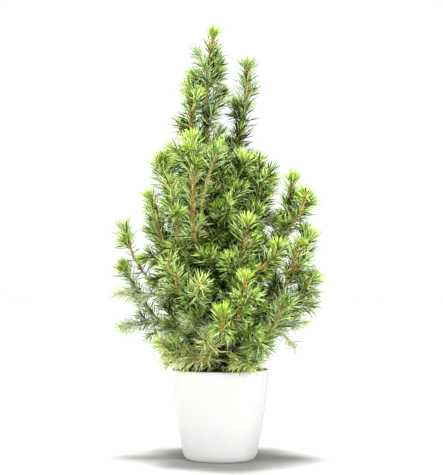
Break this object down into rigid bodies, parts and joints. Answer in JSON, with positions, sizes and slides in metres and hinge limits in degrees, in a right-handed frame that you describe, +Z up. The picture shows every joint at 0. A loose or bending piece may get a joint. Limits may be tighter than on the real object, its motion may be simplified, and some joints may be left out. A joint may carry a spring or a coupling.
{
  "type": "potted alberta spruce",
  "caption": "Young dwarf conifer with a short-needled, cone-shaped crown of upright plumes on a single trunk, standing in a round, smooth white planter.",
  "frame": {"origin": "centre of the planter's flat underside, which stands on the ground", "axes": "+Z up along the planter's axis, -Y towards the front, +X to the right as seen from the front"},
  "size_m": [0.2442, 0.2251, 0.491],
  "materials": {
    "planter": "smooth satin white moulded plastic",
    "grower_pot": "thin dull dark plastic",
    "soil": "moist crumbly potting mix",
    "bark": "rough bark with peg-like leaf bases",
    "foliage": "soft evergreen needles"
  },
  "bodies": {
    "root": {"planter": "planter", "grower_pot": "grower_pot", "soil": "soil", "trunk": "bark", "bough_back_foot": "bark", "bough_back_high": "bark", "bough_back_left_low": "bark", "bough_back_left_middle": "bark", "bough_back_right_low": "bark", "bough_back_right_middle": "bark", "bough_back_right_spire": "bark", "bough_back_spire": "bark", "bough_drooping_right": "bark", "bough_far_left": "bark", "bough_front_left": "bark", "bough_front_left_low": "bark", "bough_front_left_middle": "bark", "bough_front_low": "bark", "bough_front_middle": "bark", "bough_front_right_high": "bark", "bough_front_right_low": "bark", "bough_front_spire": "bark", "bough_high_left": "bark", "bough_high_right": "bark", "bough_inner_front": "bark", "bough_left": "bark", "bough_low_left": "bark", "bough_low_right": "bark", "bough_right": "bark", "bough_shoulder_left": "bark", "bough_shoulder_right": "bark", "foliage_back_foot": "foliage", "foliage_back_high": "foliage", "foliage_back_left_low": "foliage", "foliage_back_left_middle": "foliage", "foliage_back_right_low": "foliage", "foliage_back_right_middle": "foliage", "foliage_back_right_spire": "foliage", "foliage_back_spire": "foliage", "foliage_drooping_right": "foliage", "foliage_far_left": "foliage", "foliage_front_left": "foliage", "foliage_front_left_low": "foliage", "foliage_front_left_middle": "foliage", "foliage_front_low": "foliage", "foliage_front_middle": "foliage", "foliage_front_right_high": "foliage", "foliage_front_right_low": "foliage", "foliage_front_spire": "foliage", "foliage_high_left": "foliage", "foliage_high_right": "foliage", "foliage_inner_front": "foliage", "foliage_leader": "foliage", "foliage_left": "foliage", "foliage_low_left": "foliage", "foliage_low_right": "foliage", "foliage_right": "foliage", "foliage_shoulder_left": "foliage", "foliage_shoulder_right": "foliage"}
  },
  "joints": []
}
